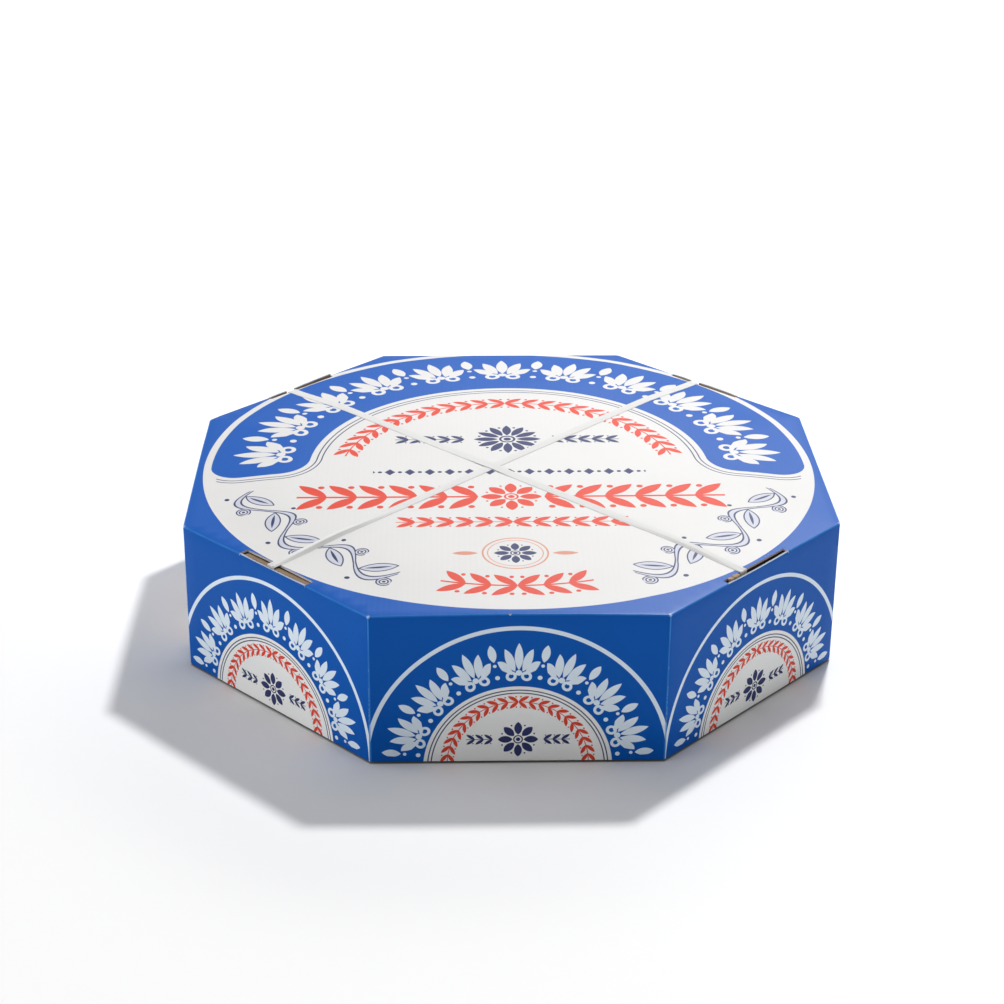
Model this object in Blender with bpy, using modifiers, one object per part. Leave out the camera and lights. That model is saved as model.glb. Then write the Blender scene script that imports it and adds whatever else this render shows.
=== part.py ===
"""Shut octagonal pastry box: a full-depth lid over a tray, held by two crossed straps.

The lid is one creased blank of thin corrugated board. Eight skirts hang from its top panel, and
a slit parts each skirt from the next. Each of the four diagonal creases has a slot, and the ends
of the straps go down into the slots. Tabs of the tray show in the two front ones.
Metres, +Z up, the origin under the centre of the box, the front towards -Y.
"""

import math

import bmesh
import bpy
from mathutils import Matrix, Vector

# The box
LID_WIDTH = 0.290
LID_DEPTH = 0.284
CORNER_CUT = 0.0834  # what each diagonal side takes off the width and off the depth
BOX_HEIGHT = 0.070
BOARD = 0.0011
CREASE_RADIUS = 0.0009
FIT_GAP = 0.0003
SKIRT_LIFT = 0.0004  # the skirts end just above what the tray rests on

# The slits between the skirts, which jog sideways where the die-cut starts
SLIT_WIDTH = 0.0005
SLIT_JOG = 0.0006
SLIT_JOG_HEIGHT = 0.0586
SLIT_TOP = BOX_HEIGHT - 0.0014
SLIT_REACH = 0.005
NICK_WIDTH = 0.0022

# The slots in the diagonal creases
SLOT_LENGTH = 0.042
SLOT_UNDERCUT = 0.0001
LIP_INSET = 0.0001
LIP_END_GAP = 0.0004
POCKET_DEPTH = 0.018
POCKET_SPARE = 0.0002
TAB_INNER = 0.0044
TAB_OUTER = 0.0023

# The straps
STRAP_THICKNESS = 0.0006
STRAP_HIDDEN = 0.014
STRAP_SETBACK = BOARD + FIT_GAP + STRAP_THICKNESS / 2
STRAP_BEND = 0.0007
STRAP_WIDTH = 0.0062
STRAP_FRONT_WIDTH = 0.0048
STRAP_FRONT_TAPER = 0.030
STRAP_SEAT = 0.0074  # the gap that the raised lip of a back slot leaves for the strap
CROSSING_HALF_LENGTH = 0.018

OVERSHOOT = 0.001

# Each diagonal side. Heights are measured from the top of the lid, and stretches along the
# crease from its middle.
#   facing: the way the side looks, in degrees from +X
#   reach: how far the slot goes in over the lid
#   strap: how far the strap lies off the middle of the slot
#   lip: the height of the skirt's edge in the slot
#   tab: the stretch of the tray's tab that stands in the slot, and its height
DIAGONALS = {
    "front_left": {
        "facing": 225, "reach": 0.0048, "strap": -0.0018, "lip": -0.0005,
        "tab": (-0.0200, 0.0202, -0.0007),
    },
    "front_right": {
        "facing": 315, "reach": 0.0048, "strap": -0.0078, "lip": -0.0005,
        "tab": (-0.0202, -0.0108, -0.0009),
    },
    "back_right": {"facing": 45, "reach": 0.0024, "strap": 0.0064, "lip": 0.0009},
    "back_left": {"facing": 135, "reach": 0.0024, "strap": 0.0065, "lip": 0.0008},
}

COLOURS = {
    "lid": ((0.024, 0.122, 0.456, 1.0), 0.45),
    "tray": ((0.402, 0.262, 0.141, 1.0), 0.85),
    "strap": ((0.78, 0.78, 0.77, 1.0), 0.80),
}


def clear_scene():
    for old in list(bpy.data.objects):
        bpy.data.objects.remove(old)


def new_collection(name):
    collection = bpy.data.collections.new(name)
    bpy.context.scene.collection.children.link(collection)
    return collection


def new_material(name):
    colour, roughness = COLOURS[name]
    material = bpy.data.materials.new(name)
    material.use_nodes = True
    shader = material.node_tree.nodes["Principled BSDF"]
    shader.inputs["Base Color"].default_value = colour
    shader.inputs["Roughness"].default_value = roughness
    shader.inputs["Metallic"].default_value = 0.0
    return material


def new_object(name, shape, collection):
    """Turns a bmesh into an object of that collection."""
    mesh = bpy.data.meshes.new(name)
    shape.to_mesh(mesh)
    shape.free()
    made = bpy.data.objects.new(name, mesh)
    collection.objects.link(made)
    return made


def standing_edges(shape):
    return [e for e in shape.edges if abs(e.verts[0].co.z - e.verts[1].co.z) > OVERSHOOT]


def octagon_block(name, inset, low, high, collection, rounded_level=None):
    """A cuboid whose four corners are cut off, set in from the lid's outline by inset.

    The edges at rounded_level, if there is one, and the standing edges are rounded.
    """
    shape = bmesh.new()
    bmesh.ops.create_cube(shape, size=1.0)
    size = (LID_WIDTH - 2 * inset, LID_DEPTH - 2 * inset, high - low)
    bmesh.ops.scale(shape, vec=size, verts=shape.verts)
    bmesh.ops.translate(shape, vec=(0, 0, (low + high) / 2), verts=shape.verts)
    cut = CORNER_CUT - inset * (2 - math.sqrt(2))
    bmesh.ops.bevel(
        shape, geom=standing_edges(shape), offset=cut, offset_type="OFFSET", segments=1,
        affect="EDGES",
    )
    if rounded_level is not None:
        rim = [e for e in shape.edges if all(abs(v.co.z - rounded_level) < 1e-6 for v in e.verts)]
        bmesh.ops.bevel(
            shape, geom=rim + standing_edges(shape), offset=CREASE_RADIUS, offset_type="OFFSET",
            segments=2, profile=0.5, affect="EDGES",
        )
    return new_object(name, shape, collection)


def side_frame(facing):
    """Axes on a diagonal crease: x along it, y inwards from the skirt's face, z up from the lid."""
    turn = math.radians(facing)
    outward = Vector((math.cos(turn), math.sin(turn), 0))
    across = Vector((-outward.y, outward.x, 0))
    reach_x = (LID_WIDTH - CORNER_CUT) / 2
    reach_y = (LID_DEPTH - CORNER_CUT) / 2
    middle = Vector((math.copysign(reach_x, outward.x), math.copysign(reach_y, outward.y), 0))
    middle.z = BOX_HEIGHT
    frame = Matrix((across, -outward, (0, 0, 1))).transposed().to_4x4()
    frame.translation = middle
    return frame


def corner_frame(corner):
    """Axes on a corner of the outline: x across the slit, y inwards along the bisector."""
    steep = abs(corner.y) > abs(corner.x)
    angle = math.radians(67.5 if steep else 22.5)
    outward = Vector((
        math.copysign(math.cos(angle), corner.x), math.copysign(math.sin(angle), corner.y), 0,
    ))
    across = Vector((-outward.y, outward.x, 0))
    frame = Matrix((across, -outward, (0, 0, 1))).transposed().to_4x4()
    frame.translation = corner
    return frame


def frame_box(name, frame, low, high, collection):
    """A box between two corners given in a frame's own axes."""
    shape = bmesh.new()
    bmesh.ops.create_cube(shape, size=1.0)
    low, high = Vector(low), Vector(high)
    bmesh.ops.scale(shape, vec=high - low, verts=shape.verts)
    bmesh.ops.translate(shape, vec=(low + high) / 2, verts=shape.verts)
    made = new_object(name, shape, collection)
    made.matrix_world = frame
    return made


def apply_tool(target, tool, operation):
    """Cuts or joins with a tool, which is hidden and kept, so that it can be changed later."""
    tool.hide_render = True
    tool.display_type = "WIRE"
    modifier = target.modifiers.new(tool.name, "BOOLEAN")
    modifier.operation = operation
    modifier.solver = "EXACT"
    modifier.object = tool


def outline_corners():
    """The eight outer corners in plan."""
    half_w, half_d = LID_WIDTH / 2, LID_DEPTH / 2
    corners = []
    for sign_x in (-1, 1):
        for sign_y in (-1, 1):
            corners.append(Vector((sign_x * (half_w - CORNER_CUT), sign_y * half_d, 0)))
            corners.append(Vector((sign_x * half_w, sign_y * (half_d - CORNER_CUT), 0)))
    return corners


def cut_slits(lid, tools):
    """Parts the skirts at every corner, with a small sideways jog near the top."""
    half = SLIT_WIDTH / 2
    stretches = {
        "low": (0.0, -OVERSHOOT, SLIT_JOG_HEIGHT),
        "high": (-SLIT_JOG, SLIT_JOG_HEIGHT - OVERSHOOT, SLIT_TOP),
    }
    for number, corner in enumerate(outline_corners(), 1):
        frame = corner_frame(corner)
        for level, (shift, bottom, top) in stretches.items():
            tool = frame_box(
                f"slit_{number}_{level}", frame,
                (shift - half, -OVERSHOOT, bottom), (shift + half, SLIT_REACH, top), tools,
            )
            apply_tool(lid, tool, "DIFFERENCE")


def cut_front_nick(lid, tools):
    """The small notch in the middle of the front crease."""
    shape = bmesh.new()
    bmesh.ops.create_cube(shape, size=NICK_WIDTH)
    turn = Matrix.Rotation(math.radians(45), 4, "Y")
    bmesh.ops.transform(shape, matrix=turn, verts=shape.verts)
    tool = new_object("front_nick", shape, tools)
    tool.location = (0, -LID_DEPTH / 2 - NICK_WIDTH / 4, BOX_HEIGHT + NICK_WIDTH / 4)
    apply_tool(lid, tool, "DIFFERENCE")


def lip_stretches(facts):
    """The stretches of the skirt's edge in a slot: whole in front, parted for the strap behind."""
    end = SLOT_LENGTH / 2 - LIP_END_GAP
    if facts["lip"] < 0:
        return [(-end, end)]
    return [(-end, facts["strap"] - STRAP_SEAT / 2), (facts["strap"] + STRAP_SEAT / 2, end)]


def make_lid(parts, tools):
    lid = octagon_block("lid", 0.0, SKIRT_LIFT, BOX_HEIGHT, parts, rounded_level=BOX_HEIGHT)
    inside = octagon_block("lid_inside", BOARD, -OVERSHOOT, BOX_HEIGHT - BOARD, tools)
    apply_tool(lid, inside, "DIFFERENCE")
    half = SLOT_LENGTH / 2
    for side, facts in DIAGONALS.items():
        frame = side_frame(facts["facing"])
        slot = frame_box(
            f"slot_{side}", frame, (-half, -OVERSHOOT, -BOARD - SLOT_UNDERCUT),
            (half, facts["reach"], OVERSHOOT), tools,
        )
        apply_tool(lid, slot, "DIFFERENCE")
        for number, (start, end) in enumerate(lip_stretches(facts), 1):
            lip = frame_box(
                f"lip_{side}_{number}", frame, (start, LIP_INSET, -2 * BOARD),
                (end, BOARD - LIP_INSET, facts["lip"]), tools,
            )
            apply_tool(lid, lip, "UNION")
    cut_slits(lid, tools)
    cut_front_nick(lid, tools)
    lid.data.materials.append(new_material("lid"))
    return lid


def make_tray(parts, tools):
    """The tray fills the shut lid. Only its tabs, its underside and its foot can be seen."""
    inset = BOARD + FIT_GAP
    top = BOX_HEIGHT - BOARD - FIT_GAP
    tray = octagon_block("tray", inset, 0.0, top, parts, rounded_level=0.0)
    half = SLOT_LENGTH / 2
    for side, facts in DIAGONALS.items():
        frame = side_frame(facts["facing"])
        pocket = frame_box(
            f"pocket_{side}", frame, (-half, inset - OVERSHOOT, -POCKET_DEPTH),
            (half, facts["reach"] + POCKET_SPARE, OVERSHOOT), tools,
        )
        apply_tool(tray, pocket, "DIFFERENCE")
        if "tab" in facts:
            start, end, height = facts["tab"]
            tab = frame_box(
                f"tab_{side}", frame, (start, TAB_OUTER, -POCKET_DEPTH - OVERSHOOT),
                (end, TAB_INNER, height), tools,
            )
            apply_tool(tray, tab, "UNION")
    tray.data.materials.append(new_material("tray"))
    return tray


def smooth_step(share):
    share = min(1.0, max(0.0, share))
    return share * share * (3 - 2 * share)


def strap_width(from_front):
    """Even over the lid, and gathered into the front slot."""
    gathered = 1 - smooth_step(from_front / STRAP_FRONT_TAPER)
    return STRAP_WIDTH + (STRAP_FRONT_WIDTH - STRAP_WIDTH) * gathered


def strap_end(side):
    """Where a strap meets the crease: a point on the skirt's face, level with the lid."""
    facts = DIAGONALS[side]
    return side_frame(facts["facing"]) @ Vector((facts["strap"], 0, 0))


def strap_route(length, crossing, crossing_rise):
    """(distance along the strap's line, height) from inside the back slot to inside the front one.

    The strap climbs behind the skirt, turns over and lies on the lid, and it steps up by
    crossing_rise where the other strap runs under it.
    """
    lying = BOX_HEIGHT + FIT_GAP + STRAP_THICKNESS / 2
    low = BOX_HEIGHT - STRAP_HIDDEN
    near = [(STRAP_SETBACK, low), (STRAP_SETBACK, (low + lying) / 2)]
    bend_steps = 6
    for step in range(bend_steps + 1):
        angle = math.pi / 2 * step / bend_steps
        near.append((
            STRAP_SETBACK + STRAP_BEND * (1 - math.cos(angle)),
            lying - STRAP_BEND * (1 - math.sin(angle)),
        ))
    far = [(length - along, height) for along, height in reversed(near)]
    start, end = near[-1][0], far[0][0]
    middle = []
    run_steps = 40
    for step in range(1, run_steps):
        along = start + (end - start) * step / run_steps
        hump = 1 - smooth_step(abs(along - crossing) / CROSSING_HALF_LENGTH)
        middle.append((along, lying + crossing_rise * hump))
    return near + middle + far


def crossing_of(first, second):
    """The point in plan where two strap lines meet."""
    a, b = strap_end(first[0]), strap_end(first[1])
    c, d = strap_end(second[0]), strap_end(second[1])
    u, v, w = b - a, d - c, c - a
    share = (w.x * v.y - w.y * v.x) / (u.x * v.y - u.y * v.x)
    return a + u * share


def make_strap(name, sides, crossing_point, crossing_rise, parts, material):
    """A flat strip along its route, made as an open surface and thickened."""
    back, front = (strap_end(side) for side in sides)
    line = front - back
    length = line.length
    direction = line.normalized()
    across = Vector((-direction.y, direction.x, 0))
    crossing = (crossing_point - back).dot(direction)
    route = strap_route(length, crossing, crossing_rise)
    last = len(route) - 1

    shape = bmesh.new()
    bmesh.ops.create_grid(shape, x_segments=last, y_segments=2, size=0.5)
    for vert in shape.verts:
        along, height = route[round((vert.co.x + 0.5) * last)]
        sideways = vert.co.y * strap_width(length - along)
        vert.co = back + direction * along + across * sideways
        vert.co.z = height
    strap = new_object(name, shape, parts)
    thicken = strap.modifiers.new("thickness", "SOLIDIFY")
    thicken.thickness = STRAP_THICKNESS
    thicken.offset = 0.0
    thicken.use_even_offset = True
    strap.data.materials.append(material)
    return strap


def make_straps(parts):
    material = new_material("strap")
    under = ("back_right", "front_left")
    over = ("back_left", "front_right")
    meeting = crossing_of(under, over)
    make_strap("strap_under", under, meeting, 0.0, parts, material)
    make_strap("strap_over", over, meeting, STRAP_THICKNESS + FIT_GAP, parts, material)


def shade_creases(pieces):
    for piece in pieces:
        piece.data.shade_smooth()
        piece.data.set_sharp_from_angle(angle=math.radians(30))


def main():
    clear_scene()
    parts = new_collection("octagonal_pastry_box")
    tools = new_collection("cutters")
    lid = make_lid(parts, tools)
    tray = make_tray(parts, tools)
    make_straps(parts)
    shade_creases([lid, tray])


main()
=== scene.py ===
"""Looks of the shut octagonal pastry box: a printed lid over a tray, held by two elastic straps.

Lengths are metres. Inside the prints they are millimetres, measured on the lid from its middle
and on a skirt from the middle of its foot.
"""

import math

import bmesh
import bpy
from mathutils import Matrix, Quaternion, Vector, noise


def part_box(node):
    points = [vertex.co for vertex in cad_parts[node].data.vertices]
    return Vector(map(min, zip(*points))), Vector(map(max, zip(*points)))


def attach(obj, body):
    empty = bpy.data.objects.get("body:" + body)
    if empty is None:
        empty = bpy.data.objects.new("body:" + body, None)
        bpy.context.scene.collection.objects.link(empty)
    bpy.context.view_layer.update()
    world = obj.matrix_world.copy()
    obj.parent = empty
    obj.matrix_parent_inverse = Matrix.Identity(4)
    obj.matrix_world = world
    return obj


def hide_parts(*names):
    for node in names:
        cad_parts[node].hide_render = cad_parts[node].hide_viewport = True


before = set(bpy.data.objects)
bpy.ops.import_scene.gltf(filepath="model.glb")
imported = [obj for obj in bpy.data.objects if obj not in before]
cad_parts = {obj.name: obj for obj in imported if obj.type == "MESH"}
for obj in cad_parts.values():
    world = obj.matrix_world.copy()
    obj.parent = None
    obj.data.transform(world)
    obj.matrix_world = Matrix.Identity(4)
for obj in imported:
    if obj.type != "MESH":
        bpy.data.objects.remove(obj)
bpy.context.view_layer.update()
_, lid_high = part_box("lid")
_, tray_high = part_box("tray")

MM = 0.001
TO_MM = 1000.0
NEAR = 1e-5

# The box, as the solids give it
TOP = 70.0 * MM  # the face of the lid; the back lips rise over it
HALF_WIDTH = lid_high.x
HALF_DEPTH = lid_high.y
CORNER_CUT = 83.4 * MM
BOARD = 1.1 * MM
CREASE_RADIUS = 0.6 * MM
SIDE_MIDDLE_X = HALF_WIDTH - CORNER_CUT / 2
SIDE_MIDDLE_Y = HALF_DEPTH - CORNER_CUT / 2
SKIRT_FOOT = 1.1 * MM
OVERSHOOT = 1.0 * MM

# The cells of the meshes
CELLS_TO_SIDE_MIDDLE = 17
CELL = SIDE_MIDDLE_X / CELLS_TO_SIDE_MIDDLE
SKIRT_CELLS = 11
TRAY_CUTS = [CELL * 4 * step for step in range(-5, 6)]

# How the board bends
BULGE = 2.0 * MM
BULGE_REACH = 45.0 * MM
FRONT_BOW = 0.8 * MM
FRONT_BOW_START = 110.0 * MM
FRONT_BOW_REACH = 30.0 * MM
WAVE_SIZE = 85.0 * MM
WAVE_RISE = 0.45 * MM
WAVE_REACH = 20.0 * MM
SLOT_LIFT = 0.55 * MM
SLOT_LIFT_PLACE = -4.0 * MM
SLOT_LIFT_SPREAD = 26.0 * MM
SLOT_LIFT_REACH = 22.0 * MM
SKIRT_BEND_HEIGHT = 24.0 * MM
SKIRT_BEND_DEPTH = 3.0 * MM
DENT = 0.5 * MM
DENT_PLACE = 62.0 * MM
DENT_HALF_LENGTH = 30.0 * MM
DENT_FOOT = 30.0 * MM
DENT_RISE = 40.0 * MM
DENT_DEPTH = 4.0 * MM

# The board's flutes
FLUTE_PITCH = 2.4 * MM
FLUTE_TURN = 2 * math.pi / FLUTE_PITCH

# The grooves where the skirts meet, and the nick in the front crease
SLIT_WIDTH = 0.26 * MM
SLIT_JOG = 0.6 * MM
SLIT_JOG_RISE = 0.5 * MM
SLIT_JOG_HEIGHT = 58.6 * MM
SLIT_TOP = TOP - 1.4 * MM
SLIT_DEPTH = 0.32 * MM
NICK_WIDTH = 1.6 * MM
NICK_PLACE = -3.8 * MM

# The print of the diagonal skirts, against that of the others; it is shifted towards the back
DIAGONAL_PRINT_SIZE = 0.965
DIAGONAL_PRINT_SHIFT = 1.8 * MM

# The slots in the diagonal creases
SLOT_LENGTH = 42.0 * MM
LIP_INSET = 0.1 * MM
LIP_END_GAP = 0.4 * MM
LIP_STEPS = 12
POCKET_DEPTH = 18.0 * MM
TRAY_EDGE_RADIUS = 0.8 * MM

# The fluted board in the front left slot: how far in each of its layers starts, and their sizes
TAB_LAYERS = (1.65 * MM, 2.65 * MM, 3.65 * MM)
TAB_LAYER = 0.95 * MM
TAB_LINER = 0.2 * MM
TAB_FALL = 0.16 * MM
FLUTE_SWING = 0.20 * MM
FLUTE_STEPS = 134

# The straps
STRAP_THICKNESS = 0.22 * MM
STRAP_GAP = 0.03 * MM
STRAP_WIDTH = 4.9 * MM
STRAP_FRONT_WIDTH = 4.3 * MM
STRAP_FRONT_TAPER = 26.0 * MM
STRAP_HIDDEN = 14.0 * MM
STRAP_BEND = 0.5 * MM
STRAP_RIBS = 8
STRAP_RIB_RISE = 0.05 * MM
STRAP_SINK = 0.14 * MM
CROSSING_HALF_LENGTH = 18.0 * MM
CROSSING_CLIMB = STRAP_THICKNESS + 0.15 * MM
STRAP_LIFT = 1.3 * MM
STRAP_OVER_LIFT = 0.6 * MM
STRAP_RIDGE = 0.2
STRAP_LIFT_LENGTH = 80.0 * MM

# Each diagonal side: the way it looks in degrees from +X, how far its slot goes in, how far the
# strap lies off the slot's middle, how far in it goes down (the setback), and the lips of board.
# A lip has its start and end along the slot, and its heights over the lid, in millimetres.
SIDES = {
    "front_left": {
        "facing": 225, "reach": 4.8 * MM, "strap": -1.8 * MM, "setback": 1.25 * MM,
        "lips": [(-21.0, 21.0, (-0.2, -0.6, -0.65, -0.5, -0.15))],
    },
    "front_right": {
        "facing": 315, "reach": 3.2 * MM, "strap": -7.6 * MM, "setback": 2.5 * MM,
        "lips": [(-21.0, 21.0, (-0.3, -0.6, -0.6, -0.45, -0.2))],
    },
    "back_right": {
        "facing": 45, "reach": 2.4 * MM, "strap": 6.4 * MM, "setback": 1.4 * MM,
        "lips": [(-21.0, 4.1, (0.2, 0.5, 0.6, 0.45)), (8.7, 21.0, (0.3, 0.4, 0.2))],
    },
    "back_left": {
        "facing": 135, "reach": 2.4 * MM, "strap": 6.5 * MM, "setback": 1.4 * MM,
        "lips": [(-21.0, 4.2, (1.0, 0.85, 0.6, 0.3)), (8.8, 21.0, (0.35, 0.35, 0.15))],
    },
}

# Ink and paper, in linear light
BLUE = (0.0, 0.098, 0.457, 1.0)
OFF_WHITE = (0.735, 0.728, 0.718, 1.0)
SKIRT_WHITE = (0.920, 0.925, 0.915, 1.0)
ARCH_WHITE = (0.790, 0.900, 1.000, 1.0)
# Pale blue of rubbed ink, also painted along the creases as a painted highlight
WORN_AND_HIGHLIT_BLUE = (0.080, 0.400, 0.950, 1.0)
NAVY = (0.034, 0.044, 0.140, 1.0)
PALE_NAVY = (0.600, 0.615, 0.700, 1.0)
RED = (0.740, 0.066, 0.034, 1.0)
PALE_RED = (0.680, 0.290, 0.200, 1.0)
KRAFT = (0.430, 0.300, 0.185, 1.0)
KRAFT_DARK = (0.120, 0.066, 0.032, 1.0)
KRAFT_PALE = (0.660, 0.520, 0.370, 1.0)
# Near black, painted over the tray as painted shade
KRAFT_PAINTED_SHADE = (0.030, 0.024, 0.018, 1.0)
EDGE_GREY = (0.840, 0.810, 0.920, 1.0)
EDGE_PALE = (0.940, 0.910, 0.960, 1.0)
LIP_GREY = (0.260, 0.310, 0.420, 1.0)
LIP_PALE = (0.420, 0.470, 0.560, 1.0)
ELASTIC = (0.745, 0.742, 0.732, 1.0)


class Signal:
    """A value in a shader, so that shader maths is written as plain arithmetic."""

    def __init__(self, shader, socket):
        self.shader = shader
        self.socket = socket

    def maths(self, operation, *others, first=None, clamp=False):
        values = (self, *others) if first is None else (first, self, *others)
        return self.shader.node(
            "ShaderNodeMath", dict(enumerate(values)), operation=operation, use_clamp=clamp,
        )

    def __add__(self, other):
        return self.maths("ADD", other)

    __radd__ = __add__

    def __sub__(self, other):
        return self.maths("SUBTRACT", other)

    def __rsub__(self, other):
        return self.maths("SUBTRACT", first=other)

    def __mul__(self, other):
        return self.maths("MULTIPLY", other)

    __rmul__ = __mul__

    def __truediv__(self, other):
        return self.maths("DIVIDE", other)

    def __rtruediv__(self, other):
        return self.maths("DIVIDE", first=other)

    def __pow__(self, other):
        return self.maths("POWER", other)

    def __rpow__(self, other):
        return self.maths("POWER", first=other)

    def __abs__(self):
        return self.maths("ABSOLUTE")

    def __neg__(self):
        return self.maths("MULTIPLY", -1.0)


class Shader:
    """The node tree of one material or world."""

    def __init__(self, owner):
        owner.use_nodes = True
        self.tree = owner.node_tree

    def node(self, kind, inputs=None, output=0, **settings):
        """Adds a node, sets it, feeds its sockets and returns one of its outputs."""
        made = self.tree.nodes.new(kind)
        for name, value in settings.items():
            setattr(made, name, value)
        for key, value in (inputs or {}).items():
            self.feed(made.inputs[key], value)
        return Signal(self, made.outputs[output])

    def feed(self, socket, value):
        if isinstance(value, Signal):
            self.tree.links.new(value.socket, socket)
        else:
            socket.default_value = value

    def split(self, vector):
        return [
            self.node("ShaderNodeSeparateXYZ", {0: vector}, output=axis) for axis in range(3)
        ]

    def blend(self, under, over, mask):
        """A colour laid over another where the mask is 1."""
        return self.node(
            "ShaderNodeMix", {0: mask, 6: under, 7: over}, output=2, data_type="RGBA",
        )

    def shade(self, colour, tone):
        """A colour made darker or lighter."""
        return self.node(
            "ShaderNodeMix", {0: 1.0, 6: colour, 7: grey(self, tone)}, output=2,
            data_type="RGBA", blend_type="MULTIPLY",
        )


# Shapes of the print. Each gives the distance outside its edge, which is negative inside it.
# The plain numbers in a motif are shares of its size.

INK_EDGE = 0.14
CURL_WIDTH = 1.3
OUTLINE_WIDTH = 0.62
PALMETTE_STEP = math.radians(23)
VINE_LEAN = math.radians(-32)


def ink(distance, softness=INK_EDGE):
    """A mask that is 1 inside a shape."""
    return distance.maths("MULTIPLY_ADD", -1 / softness, 0.5, clamp=True)


def union(first, *others):
    for other in others:
        first = first.maths("MINIMUM", other)
    return first


def overlap(first, *others):
    for other in others:
        first = first.maths("MAXIMUM", other)
    return first


def line(distance, width):
    """The outline of a shape, that wide."""
    return abs(distance) - width / 2


def length(x, y):
    return (x * x + y * y).maths("SQRT")


def near_repeat(value, step):
    """How far a value is from the nearest whole number of steps."""
    return value.maths("PINGPONG", step / 2)


def disc(x, y, radius):
    return length(x, y) - radius


def petal(across, along, half_width, half_length):
    """A leaf with two pointed ends, between two arcs."""
    radius = (half_length ** 2 + half_width ** 2) / (2 * half_width)
    return length(abs(across) + (radius - half_width), along) - radius


def lozenge(x, y, half_width, half_height):
    size = half_width * half_height / math.hypot(half_width, half_height)
    return (abs(x) / half_width + abs(y) / half_height - 1) * size


def rosette(x, y, radius, count):
    """A flower of pointed petals round a ring and a bead, with a bead between each two petals."""
    out = length(x, y)
    turn = near_repeat(x.maths("ARCTAN2", y), 2 * math.pi / count)
    sideways, forward = out * turn.maths("SINE"), out * turn.maths("COSINE")
    half_width = radius * 0.51 * math.sin(math.pi / count)
    leaf = petal(sideways, forward - radius * 0.64, half_width, radius * 0.36)
    bead = disc(out * (math.pi / count - turn), out - radius * 0.86, radius * 0.045)
    ring = line(out - radius * 0.21, radius * 0.07)
    return union(leaf, bead, ring, out - radius * 0.11)


def palmette(across, along, height):
    """A fan of five petals, shorter to the sides, on two curls; across is never negative."""
    out = length(across, along)
    turn = across.maths("ARCTAN2", along)
    fold = near_repeat(turn, PALMETTE_STEP)
    reach = out * (turn * turn * 0.5 + 1.0)
    sideways, forward = out * fold.maths("SINE"), reach * fold.maths("COSINE")
    leaf = petal(sideways, forward - height * 0.62, height * 0.106, height * 0.37)
    leaf = overlap(leaf, out * (turn - PALMETTE_STEP * 2.5))
    curl = line(disc(across - height * 0.19, along - height * 0.08, height * 0.10), height * 0.075)
    return union(leaf, curl, disc(across, along - height * 0.17, height * 0.08))


def drop(across, along, height):
    """A leaf and two beads, which stand between two palmettes."""
    leaf = petal(across, along - height * 0.76, height * 0.105, height * 0.24)
    low = disc(across, along - height * 0.08, height * 0.06)
    return union(leaf, low, disc(across, along - height * 0.42, height * 0.045))


def frieze(angle, radius, base, height, step):
    """Palmettes and drops that take turns round an arc."""
    turn = near_repeat(angle, step)
    along = radius - base
    return union(
        palmette(turn * radius, along, height), drop((step / 2 - turn) * radius, along, height),
    )


def garland(along, across, pitch, spread, count, start=0.0):
    """Pairs of leaves with berries on a stem, from the start of the row outwards."""
    along = along - start
    step = along.maths("WRAP", pitch, 0.0)
    side = abs(across)
    lean = math.atan2(spread, pitch * 0.97)
    half_length = spread / (2 * math.sin(lean))
    forward = step * math.cos(lean) + side * math.sin(lean)
    sideways = side * math.cos(lean) - step * math.sin(lean)
    leaf = petal(sideways, forward - half_length, half_length * 0.33, half_length)
    berry = disc(step - pitch * 0.22, side - spread * 0.82, spread * 0.12)
    row = union(leaf, berry, line(across, spread * 0.13))
    return overlap(row, -along, along - pitch * count, side - spread * 1.05)


def vine(along, across, half_wave, swing):
    """A waving stem with a leaf and a curl in each bend, as one shape, and its lines and beads."""
    turn = math.pi / half_wave
    up = across * (along * turn).maths("SINE").maths("SIGN")
    step = along.maths("WRAP", half_wave, 0.0) - half_wave / 2
    wave = (step * turn).maths("COSINE")
    stem = abs(up - wave * swing) * 0.68 - (wave * 0.5 + 0.55)
    forward = step * math.cos(VINE_LEAN) + up * math.sin(VINE_LEAN)
    sideways = up * math.cos(VINE_LEAN) - step * math.sin(VINE_LEAN) + swing * 0.05
    leaf = petal(sideways, forward - swing * 0.15, swing * 0.38, swing * 0.98)
    rib = petal(sideways, forward - swing * 0.1, swing * 0.08, swing * 0.7)
    bud_along, bud_up = step - swing * 0.95, up - swing * 1.02
    curl = line(disc(bud_along, bud_up, swing * 0.28), CURL_WIDTH)
    bud = disc(bud_along, bud_up, swing * 0.09)
    berry = disc(step + swing * 0.75, up - swing * 1.42, swing * 0.13)
    shape = union(stem, leaf, curl)
    return shape, union(line(shape, OUTLINE_WIDTH), rib, bud, berry)


# The print of the lid; the field and the rows along its edge have one centre. A frieze has its
# inner radius, the palmettes' height and the angle from one to the next.

FIELD_CENTRE = 3.9
FIELD_RADIUS = 141.7
CRESCENT_RADIUS = 138.3
CRESCENT_END = math.radians(96.5)
CRESCENT_ROUNDING = 14.0
HOLLOW_CENTRE = -0.7
HOLLOW_RADIUS = 93.0
LID_FRIEZE = (102.5, 27.5, math.radians(17))
LID_FRIEZE_END = math.radians(91.8)
BORDER_GAPS = (3.1, 5.3)
BORDER_WIDTH = 0.6
BORDER_RADIUS = 135.6
SWAG_RADIUS = 121.5
VINE_RADIUS = 121.0
VINE_MIDDLE = math.radians(130)
VINE_HALF_LENGTH = 55.0
VINE_HALF_WIDTH = 13.5

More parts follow.
